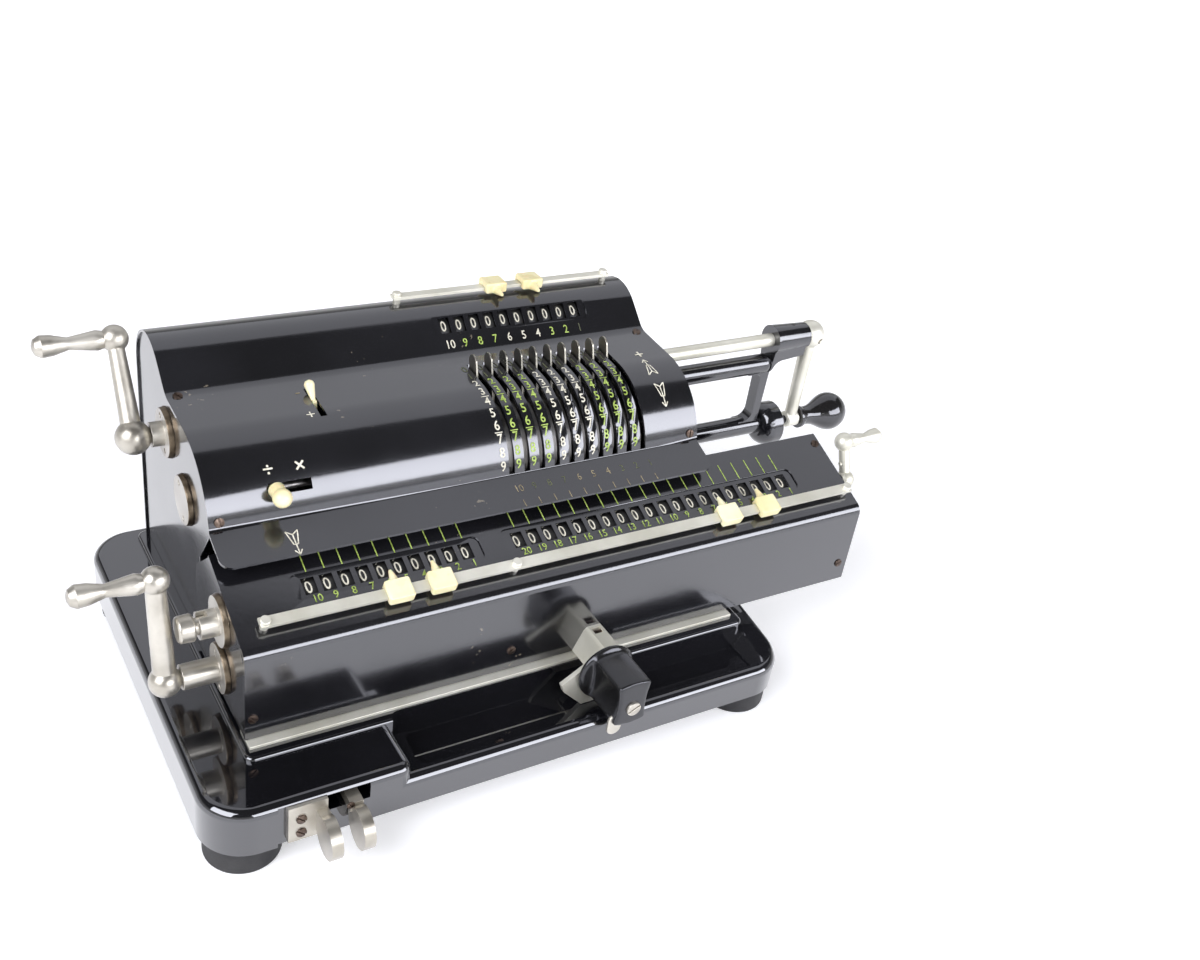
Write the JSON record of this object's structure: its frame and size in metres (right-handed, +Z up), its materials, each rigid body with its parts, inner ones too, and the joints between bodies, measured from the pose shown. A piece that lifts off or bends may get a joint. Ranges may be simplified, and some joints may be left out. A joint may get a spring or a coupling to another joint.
{
  "type": "mechanical calculating machine",
  "caption": "Hand-cranked pinwheel calculating machine: black enamelled body with setting levers, sliding carriage with number wheels, nickel cranks and a side crank.",
  "frame": {"origin": "on the table, under the middle of the machine's bounding box with every crank, lever and the carriage as stored", "axes": "+X to the operator's right along the rows of wheels, +Y away from the operator, +Z up"},
  "size_m": [0.426, 0.2104, 0.1556],
  "materials": {
    "base_enamel": "thick gloss black enamel with soft bright highlights",
    "black_enamel": "semi-gloss black enamel with a few chips at the edges",
    "nickel": "worn nickel plate, slightly warm and dull in places",
    "inner_steel": "plain machined steel",
    "wheel_black": "satin black wheels with pale digits",
    "ivory": "aged ivory-coloured resin",
    "black_resin": "polished black resin",
    "foot_rubber": "dull black rubber"
  },
  "bodies": {
    "frame": {"base_casting": "base_enamel", "rubber_feet": "foot_rubber", "guide_rail": "nickel", "side_plate_left": "black_enamel", "side_plate_right": "black_enamel", "front_cover": "black_enamel", "rear_cover": "black_enamel", "cross_bars": "inner_steel", "rotor_bearing_flange": "nickel", "upper_crank_flange": "nickel", "crank_bracket": "black_enamel", "top_marker_rail": "nickel", "pinch_bracket": "nickel"},
    "carriage": {"carriage_cover": "black_enamel", "carriage_frame": "black_enamel", "carriage_marker_rail": "nickel", "left_crank_flange": "nickel", "stop_sleeve": "nickel", "shift_bracket": "nickel"},
    "crank": {"crank_shaft": "nickel", "crank_arm": "nickel"},
    "handle": {"crank_handle": "black_resin"},
    "idler": {"idler_gear": "inner_steel"},
    "rotor_drum": {"rotor": "inner_steel"},
    "upper_crank": {"upper_clearing_crank": "nickel"},
    "result": {"result_wheels": "wheel_black", "right_clearing_crank": "nickel"},
    "left_crank": {"left_clearing_crank": "nickel"},
    "counter": {"counter_wheels": "wheel_black"},
    "stop": {"stop_knob": "nickel"},
    "sign": {"sign_lever": "ivory"},
    "mode": {"mode_lever": "ivory"},
    "shift": {"shift_knob": "black_resin"},
    "pinch": {"pinch_lever": "nickel"},
    "lever_01": {"setting_lever_01": "nickel"},
    "dial_01": {"check_dial_01": "wheel_black"},
    "lever_02": {"setting_lever_02": "nickel"},
    "dial_02": {"check_dial_02": "wheel_black"},
    "lever_03": {"setting_lever_03": "nickel"},
    "dial_03": {"check_dial_03": "wheel_black"},
    "lever_04": {"setting_lever_04": "nickel"},
    "dial_04": {"check_dial_04": "wheel_black"},
    "lever_05": {"setting_lever_05": "nickel"},
    "dial_05": {"check_dial_05": "wheel_black"},
    "lever_06": {"setting_lever_06": "nickel"},
    "dial_06": {"check_dial_06": "wheel_black"},
    "lever_07": {"setting_lever_07": "nickel"},
    "dial_07": {"check_dial_07": "wheel_black"},
    "lever_08": {"setting_lever_08": "nickel"},
    "dial_08": {"check_dial_08": "wheel_black"},
    "lever_09": {"setting_lever_09": "nickel"},
    "dial_09": {"check_dial_09": "wheel_black"},
    "lever_10": {"setting_lever_10": "nickel"},
    "dial_10": {"check_dial_10": "wheel_black"},
    "marker_1": {"carriage_marker_1": "ivory"},
    "marker_2": {"carriage_marker_2": "ivory"},
    "marker_3": {"carriage_marker_3": "ivory"},
    "marker_4": {"carriage_marker_4": "ivory"},
    "top_marker_body_1": {"top_marker_1": "ivory"},
    "top_marker_body_2": {"top_marker_2": "ivory"}
  },
  "joints": [
    {"name": "carriage_slide", "type": "slide", "parent": "frame", "child": "carriage", "axis": [1, 0, 0], "range_m": [-0.0675, 0]},
    {"name": "crank_turn", "type": "hinge", "parent": "frame", "child": "crank", "pos_m": [0.1758, 0.04425, 0.1208], "axis": [1, 0, 0], "continuous": true},
    {"name": "handle_spin", "type": "hinge", "parent": "crank", "child": "handle", "pos_m": [0.1958, 0.04425, 0.0692], "axis": [1, 0, 0], "continuous": true},
    {"name": "idler_turn", "type": "hinge", "parent": "frame", "child": "idler", "pos_m": [0.061, 0.03562, 0.10965], "axis": [1, 0, 0], "continuous": true},
    {"name": "rotor_turn", "type": "hinge", "parent": "frame", "child": "rotor_drum", "pos_m": [0.04095, 0.027, 0.0985], "axis": [1, 0, 0], "continuous": true},
    {"name": "lever_turn_01", "type": "hinge", "parent": "frame", "child": "lever_01", "pos_m": [0.04095, 0.027, 0.0985], "axis": [1, 0, 0], "range_deg": [0, 87]},
    {"name": "lever_turn_02", "type": "hinge", "parent": "frame", "child": "lever_02", "pos_m": [0.03345, 0.027, 0.0985], "axis": [1, 0, 0], "range_deg": [0, 87]},
    {"name": "lever_turn_03", "type": "hinge", "parent": "frame", "child": "lever_03", "pos_m": [0.02595, 0.027, 0.0985], "axis": [1, 0, 0], "range_deg": [0, 87]},
    {"name": "lever_turn_04", "type": "hinge", "parent": "frame", "child": "lever_04", "pos_m": [0.01845, 0.027, 0.0985], "axis": [1, 0, 0], "range_deg": [0, 87]},
    {"name": "lever_turn_05", "type": "hinge", "parent": "frame", "child": "lever_05", "pos_m": [0.01095, 0.027, 0.0985], "axis": [1, 0, 0], "range_deg": [0, 87]},
    {"name": "lever_turn_06", "type": "hinge", "parent": "frame", "child": "lever_06", "pos_m": [0.00345, 0.027, 0.0985], "axis": [1, 0, 0], "range_deg": [0, 87]},
    {"name": "lever_turn_07", "type": "hinge", "parent": "frame", "child": "lever_07", "pos_m": [-0.00405, 0.027, 0.0985], "axis": [1, 0, 0], "range_deg": [0, 87]},
    {"name": "lever_turn_08", "type": "hinge", "parent": "frame", "child": "lever_08", "pos_m": [-0.01155, 0.027, 0.0985], "axis": [1, 0, 0], "range_deg": [0, 87]},
    {"name": "lever_turn_09", "type": "hinge", "parent": "frame", "child": "lever_09", "pos_m": [-0.01905, 0.027, 0.0985], "axis": [1, 0, 0], "range_deg": [0, 87]},
    {"name": "lever_turn_10", "type": "hinge", "parent": "frame", "child": "lever_10", "pos_m": [-0.02655, 0.027, 0.0985], "axis": [1, 0, 0], "range_deg": [0, 87]},
    {"name": "dial_turn_01", "type": "hinge", "parent": "frame", "child": "dial_01", "pos_m": [0.03765, 0.07048, 0.13387], "axis": [1, 0, 0], "range_deg": [-324, 0]},
    {"name": "dial_turn_02", "type": "hinge", "parent": "frame", "child": "dial_02", "pos_m": [0.03015, 0.07048, 0.13387], "axis": [1, 0, 0], "range_deg": [-324, 0]},
    {"name": "dial_turn_03", "type": "hinge", "parent": "frame", "child": "dial_03", "pos_m": [0.02265, 0.07048, 0.13387], "axis": [1, 0, 0], "range_deg": [-324, 0]},
    {"name": "dial_turn_04", "type": "hinge", "parent": "frame", "child": "dial_04", "pos_m": [0.01515, 0.07048, 0.13387], "axis": [1, 0, 0], "range_deg": [-324, 0]},
    {"name": "dial_turn_05", "type": "hinge", "parent": "frame", "child": "dial_05", "pos_m": [0.00765, 0.07048, 0.13387], "axis": [1, 0, 0], "range_deg": [-324, 0]},
    {"name": "dial_turn_06", "type": "hinge", "parent": "frame", "child": "dial_06", "pos_m": [0.00015, 0.07048, 0.13387], "axis": [1, 0, 0], "range_deg": [-324, 0]},
    {"name": "dial_turn_07", "type": "hinge", "parent": "frame", "child": "dial_07", "pos_m": [-0.00735, 0.07048, 0.13387], "axis": [1, 0, 0], "range_deg": [-324, 0]},
    {"name": "dial_turn_08", "type": "hinge", "parent": "frame", "child": "dial_08", "pos_m": [-0.01485, 0.07048, 0.13387], "axis": [1, 0, 0], "range_deg": [-324, 0]},
    {"name": "dial_turn_09", "type": "hinge", "parent": "frame", "child": "dial_09", "pos_m": [-0.02235, 0.07048, 0.13387], "axis": [1, 0, 0], "range_deg": [-324, 0]},
    {"name": "dial_turn_10", "type": "hinge", "parent": "frame", "child": "dial_10", "pos_m": [-0.02985, 0.07048, 0.13387], "axis": [1, 0, 0], "range_deg": [-324, 0]},
    {"name": "upper_crank_turn", "type": "hinge", "parent": "frame", "child": "upper_crank", "pos_m": [-0.1708, 0.05175, 0.116], "axis": [1, 0, 0], "continuous": true},
    {"name": "result_turn", "type": "hinge", "parent": "carriage", "child": "result", "pos_m": [0.1547, -0.02612, 0.07691], "axis": [1, 0, 0], "continuous": true},
    {"name": "left_crank_turn", "type": "hinge", "parent": "carriage", "child": "left_crank", "pos_m": [-0.1816, -0.02612, 0.05341], "axis": [1, 0, 0], "range_deg": [-95, 115]},
    {"name": "counter_turn", "type": "hinge", "parent": "carriage", "child": "counter", "pos_m": [-0.0586, -0.02612, 0.07691], "axis": [1, 0, 0], "range_deg": [-186, 154]},
    {"name": "stop_turn", "type": "hinge", "parent": "carriage", "child": "stop", "pos_m": [-0.1816, -0.02612, 0.07691], "axis": [1, 0, 0], "range_deg": [0, 90]},
    {"name": "marker_slide_1", "type": "slide", "parent": "carriage", "child": "marker_1", "axis": [1, 0, 0], "range_m": [-0.045, 0.006]},
    {"name": "marker_slide_2", "type": "slide", "parent": "carriage", "child": "marker_2", "axis": [1, 0, 0], "range_m": [-0.0065, 0.0252]},
    {"name": "marker_slide_3", "type": "slide", "parent": "carriage", "child": "marker_3", "axis": [1, 0, 0], "range_m": [-0.1, 0.0095]},
    {"name": "marker_slide_4", "type": "slide", "parent": "carriage", "child": "marker_4", "axis": [1, 0, 0], "range_m": [-0.0095, 0.04]},
    {"name": "top_marker_slide_1", "type": "slide", "parent": "frame", "child": "top_marker_body_1", "axis": [1, 0, 0], "range_m": [-0.038, 0.007]},
    {"name": "top_marker_slide_2", "type": "slide", "parent": "frame", "child": "top_marker_body_2", "axis": [1, 0, 0], "range_m": [-0.007, 0.033]},
    {"name": "sign_turn", "type": "hinge", "parent": "frame", "child": "sign", "pos_m": [-0.1022, 0.027, 0.0985], "axis": [1, 0, 0], "range_deg": [-3, 14]},
    {"name": "mode_slide", "type": "slide", "parent": "frame", "child": "mode", "axis": [1, 0, 0], "range_m": [0, 0.0084]},
    {"name": "shift_turn", "type": "hinge", "parent": "carriage", "child": "shift", "pos_m": [-0.0073, -0.06, 0.0398], "axis": [0, 1, 0], "range_deg": [-15, 15], "stiffness_Nm_per_rad": 0.6},
    {"name": "pinch_slide", "type": "slide", "parent": "frame", "child": "pinch", "axis": [1, 0, 0], "range_m": [-0.005, 0], "stiffness_N_per_m": 200}
  ],
  "couplings": [
    {"joint": "idler_turn", "follows": "crank_turn", "ratio": -0.86667},
    {"joint": "rotor_turn", "follows": "crank_turn", "ratio": 1},
    {"joint": "dial_turn_01", "follows": "lever_turn_01", "ratio": -3.7241},
    {"joint": "dial_turn_02", "follows": "lever_turn_02", "ratio": -3.7241},
    {"joint": "dial_turn_03", "follows": "lever_turn_03", "ratio": -3.7241},
    {"joint": "dial_turn_04", "follows": "lever_turn_04", "ratio": -3.7241},
    {"joint": "dial_turn_05", "follows": "lever_turn_05", "ratio": -3.7241},
    {"joint": "dial_turn_06", "follows": "lever_turn_06", "ratio": -3.7241},
    {"joint": "dial_turn_07", "follows": "lever_turn_07", "ratio": -3.7241},
    {"joint": "dial_turn_08", "follows": "lever_turn_08", "ratio": -3.7241},
    {"joint": "dial_turn_09", "follows": "lever_turn_09", "ratio": -3.7241},
    {"joint": "dial_turn_10", "follows": "lever_turn_10", "ratio": -3.7241},
    {"joint": "counter_turn", "follows": "left_crank_turn", "ratio": -1.6111}
  ]
}
